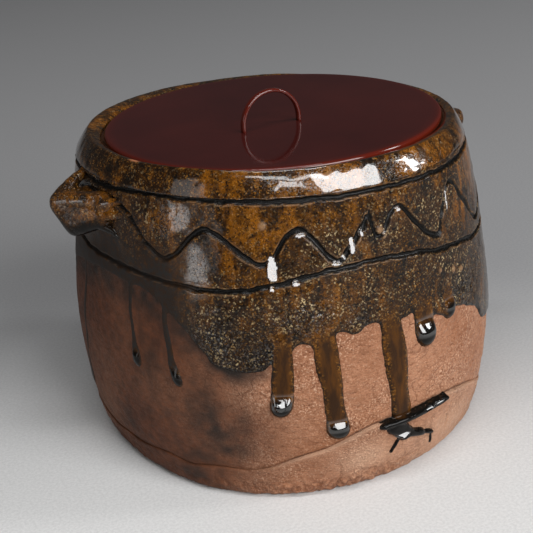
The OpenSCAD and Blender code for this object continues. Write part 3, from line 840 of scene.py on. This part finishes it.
def makeEar(name, node, side, material):
    shape = bmesh.new()
    for group in ear["rolls"] + ear["smears"]:
        part = bmesh.new()
        for out, along, height, radius in group:
            direction = np.array(side + math.degrees(along / ear["arm"]))
            place = Vector(wallPoint(direction, np.array(float(height)), np.array(float(out)))) * mm
            matrix = Matrix.Translation(place)
            bmesh.ops.create_icosphere(part, subdivisions=3, radius=radius * mm, matrix=matrix)
        hull = bmesh.ops.convex_hull(part, input=part.verts)
        loose = hull["geom_interior"] + hull["geom_unused"]
        loose = [g for g in loose if isinstance(g, bmesh.types.BMVert)]
        bmesh.ops.delete(part, geom=loose, context="VERTS")
        roll = bpy.data.meshes.new("roll")
        part.to_mesh(roll)
        part.free()
        shape.from_mesh(roll)
        bpy.data.meshes.remove(roll)
    raw = bpy.data.meshes.new("raw ear")
    shape.to_mesh(raw)
    shape.free()
    holder = bpy.data.objects.new("raw ear", raw)
    bpy.context.scene.collection.objects.link(holder)
    remesh = holder.modifiers.new("remesh", "REMESH")
    remesh.mode, remesh.voxel_size = "VOXEL", ear["voxel"] * mm
    soften = holder.modifiers.new("soften", "SMOOTH")
    soften.factor, soften.iterations = ear["soften"]
    smooth = holder.evaluated_get(bpy.context.evaluated_depsgraph_get())
    mesh = bpy.data.meshes.new_from_object(smooth)
    bpy.data.objects.remove(holder)
    bpy.data.meshes.remove(raw)
    for v in mesh.vertices:
        v.co += v.normal * noise.noise(v.co * ear["lumpScale"]) * ear["lumps"] * mm
    co = np.empty(len(mesh.vertices) * 3)
    mesh.vertices.foreach_get("co", co)
    x, y, z = co.reshape(-1, 3).T / mm
    theta = np.degrees(np.arctan2(y, x))
    far = np.hypot(x, y) - wallRadius(theta, z)
    lumpy = wallNoise(theta, z, 6, 91)
    fields = {
        "sandy": np.clip(0.15 + 0.4 * lumpy, 0, 1) * rise(126, 122, z), "warm": 0.4 + 0.6 * lumpy,
        "polish": 0 * z + 0.4, "grit": np.clip(0.3 + 0.4 * lumpy, 0, 1),
        # black under the ear and in the crease at its root: painted shade
        "black": np.clip(0.95 * rise(118.5, 112, z + 2 * lumpy) + 0.3 * rise(126, 131, z), 0, 1),
        "wet": 0.9 * rise(121, 125, z) * rise(1, 4, far), "smoke": 0.25 * rise(2, -1, far),
    }
    mesh.name = name
    dress(finishMesh(name, mesh, fields), "jar", node, material)


# lid board and bow, around the boxes of their solids
lidBoard = {"round": 1.4, "bevel": 1.6, "inner": 40, "columns": 288}
lidBow = {"thick": 1.6, "wide": 3.0, "corner": 0.75, "steps": 56, "sunk": 1.0, "worn": 0.55}


def makeLid(material):
    edge, bevel, inner = lidBoard["round"], lidBoard["bevel"], lidBoard["inner"]
    # radius, height, wear
    profile = [(2, lidBottom, 0), (inner, lidBottom, 0), (lidRadius - bevel, lidBottom, 0.5),
               (lidRadius, lidBottom + bevel, 0.8), (lidRadius, lidTop - edge - 0.5, 0.8)]
    for f in np.linspace(0, math.pi / 2, 9):
        radius, height = lidRadius - edge + edge * math.cos(f), lidTop - edge + edge * math.sin(f)
        profile.append((radius, height, 0.9 - 0.4 * f))
    profile += [(lidRadius - 2.4, lidTop, 0.12), (lidRadius - 5, lidTop, 0),
                (inner, lidTop, 0), (2, lidTop, 0)]
    theta = np.linspace(0, 360, lidBoard["columns"], endpoint=False)
    points = np.array([levelRing(theta, radius, height) for radius, height, wear in profile])
    worn = np.array([wear for radius, height, wear in profile])[:, None] + 0 * theta
    piece = gridPiece("lacquer-lid", points, ends=(True, True), fields={"worn": worn})
    dress(piece, "lid", "lid_board", material)


def makeBow(material):
    middle = np.array([bowLow.x + bowHigh.x, bowLow.y + bowHigh.y]) / 2 / mm
    radius = (bowHigh.x - bowLow.x) / 2 / mm - lidBow["thick"] / 2
    spring = bowHigh.z / mm - lidBow["thick"] / 2 - radius  # where the legs end and the half ring starts
    leg = [lidTop - lidBow["sunk"], (lidTop + spring) / 2]
    path = [(-radius, leg[0], 180), (-radius, leg[1], 180)]
    for f in np.linspace(180, 0, lidBow["steps"]):
        path.append((radius * math.cos(math.radians(f)), spring + radius * math.sin(math.radians(f)), f))
    path += [(radius, leg[1], 0), (radius, leg[0], 0)]
    half, wide, corner = lidBow["thick"] / 2, lidBow["wide"] / 2, lidBow["corner"]
    section = []
    for sx, sy, first in ((1, 1, 0), (-1, 1, 90), (-1, -1, 180), (1, -1, 270)):
        for f in np.radians(first + np.linspace(0, 90, 5)):
            section.append((sx * (half - corner) + corner * math.cos(f),
                            sy * (wide - corner) + corner * math.sin(f)))
    rings = []
    for x, z, f in path:
        c, n = math.cos(math.radians(f)), math.sin(math.radians(f))
        rings.append([(middle[0] + x + o * c, middle[1] - w, z + o * n) for o, w in section])
    points = np.array(rings)
    fields = {"worn": np.full(points.shape[:2], lidBow["worn"])}
    piece = gridPiece("lacquer-bow", points, ends=(True, True), fields=fields)
    dress(piece, "lid", "lid_bow", material)


# the glazed inside; its floor: (height over the floor, inwards)
lining = {"columns": 180, "sideRings": 16, "inset": 0.6,
          "floor": [(5, 1.5), (2, 4), (0.7, 9), (0.7, 40), (0.7, 80)]}


def makeLining(material):
    cols, inset = lining["columns"], jar["wall"] + lining["inset"]
    theta = np.linspace(0, 360, cols, endpoint=False)
    rings = [levelRing(theta, jar["mouthRadius"] - 0.1, jar["throat"] - 0.5)]
    for height in np.linspace(jar["throat"] - 14, jar["floor"] + 9, lining["sideRings"]):
        rings.append(wallPoint(theta, np.full(cols, height), -inset))
    for up, inwards in lining["floor"]:
        rings.append(wallPoint(theta, np.full(cols, jar["floor"] + up), -inset - inwards))
    piece = gridPiece("inner-glaze", np.array(rings), ends=(False, True))
    dress(piece, "jar", "inner_glaze", material)


ashGlaze, lacquer = glazeMaterial(), lacquerMaterial()
makeClayWall(clayMaterial("fired clay", clayWall["grit"]))
makeClayBase(clayMaterial("coarse fired clay", clayBase["grit"]))
print("clay done")
makeGlaze(ashGlaze)
print("glaze done")
makeEar("left-ear", "left_ear", 180, ashGlaze)
makeEar("right-ear", "right_ear", 0, ashGlaze)
makeLining(liningMaterial())
print("ears and lining done")
makeLid(lacquer)
makeBow(lacquer)
print("lid done")

# floor, lights and camera
studio = {
    # floorNear to floorFar across fade: a painted pool of light on the floor near the jar
    "floorSize": 8, "floorNear": (0.70, 0.70, 0.695), "floorFar": (0.30, 0.30, 0.306),
    "fade": (-0.13, 0.15), "felt": (0.08, 0.08, 0.08), "feltGrain": (750, 4, 0.7), "floorRoughness": 0.9,
    "world": (0.5, 0.5, 0.51), "worldStrength": 0.08, "aim": (0, 0, 0.08),
    # lamps: azimuth from the camera, elevation, distance, width, height, watts
    "lamps": [(40, 27, 2.4, 1.5, 1.25, 54), (3, 39, 2.4, 1.9, 0.2, 7), (4, 30, 2.4, 0.55, 0.35, 4),
              (0, 74, 2.6, 1.9, 0.2, 26), (-52, 6, 2.4, 0.8, 1.15, 7), (86, 26, 2.6, 0.35, 0.8, 15)],
}
view = {"azimuth": -28.0, "back": 0.520, "up": 0.288, "pitch": 22.94, "yaw": -0.53, "roll": -4.41,
        "focalPixels": 1200.0, "imagePixels": 533.0, "sensor": 36, "nearest": 0.01}


def makeStudio():
    bpy.ops.mesh.primitive_plane_add(size=studio["floorSize"], location=(0, 0, 0))
    floor = bpy.context.object
    floor.name = "floor"
    material, tree, shader, where = newMaterial("floor paper")
    a = math.radians(view["azimuth"])
    inputs = {0: where, 1: (-math.sin(a), math.cos(a), 0)}
    away = put(tree, "VectorMath", inputs, operation="DOT_PRODUCT").outputs["Value"]
    # light near the jar, darker behind it: a painted pool of light
    near, far = studio["fade"]
    inputs = {"Value": away, "From Min": near, "From Max": far}
    fade = put(tree, "MapRange", inputs, interpolation_type="SMOOTHSTEP").outputs["Result"]
    colour = tint(fade, studio["floorNear"], studio["floorFar"])
    felt = grain(where, *studio["feltGrain"])
    colour = tint(between(felt, 0.62, 0.38, 0.0, 0.16), colour, studio["felt"])
    feed(shader, {"Base Color": colour, "Roughness": studio["floorRoughness"]})
    floor.data.materials.append(material)
    world = bpy.data.worlds.new("studio")
    world.use_nodes = True
    background = {"Color": (*studio["world"], 1), "Strength": studio["worldStrength"]}
    feed(world.node_tree.nodes["Background"], background)
    bpy.context.scene.world = world
    for i, (azimuth, elevation, far, wide, tall, watts) in enumerate(studio["lamps"]):
        lamp = bpy.data.lights.new("softbox%d" % i, "AREA")
        lamp.shape, lamp.size, lamp.size_y, lamp.energy = "RECTANGLE", wide, tall, watts
        holder = bpy.data.objects.new(lamp.name, lamp)
        a, e = math.radians(azimuth + view["azimuth"]), math.radians(elevation)
        aim = Vector(studio["aim"])
        towards = Vector((math.sin(a) * math.cos(e), -math.cos(a) * math.cos(e), math.sin(e)))
        holder.location = aim + towards * far
        holder.rotation_euler = (aim - holder.location).to_track_quat("-Z", "Y").to_euler()
        bpy.context.scene.collection.objects.link(holder)


def makeCamera():
    turn = Matrix.Rotation(math.radians(view["azimuth"]), 3, "Z")
    pitch, yaw, roll = (math.radians(view[k]) for k in ("pitch", "yaw", "roll"))
    level = math.cos(pitch)
    ahead = turn @ Vector((math.sin(yaw) * level, math.cos(yaw) * level, -math.sin(pitch)))
    right = ahead.cross(Vector((0, 0, 1))).normalized()
    up = right.cross(ahead)
    c, n = math.cos(roll), math.sin(roll)
    right, up = right * c + up * n, up * c - right * n
    camera = bpy.data.cameras.new("camera")
    camera.sensor_width = view["sensor"]
    camera.lens = view["sensor"] * view["focalPixels"] / view["imagePixels"]
    camera.clip_start = view["nearest"]
    holder = bpy.data.objects.new("camera", camera)
    place = turn @ Vector((0, -view["back"], view["up"]))
    holder.matrix_world = Matrix.Translation(place) @ Matrix((right, up, -ahead)).transposed().to_4x4()
    bpy.context.scene.collection.objects.link(holder)
    bpy.context.scene.camera = holder


makeStudio()
makeCamera()
bpy.context.scene.view_settings.view_transform = "Standard"
print("studio done")
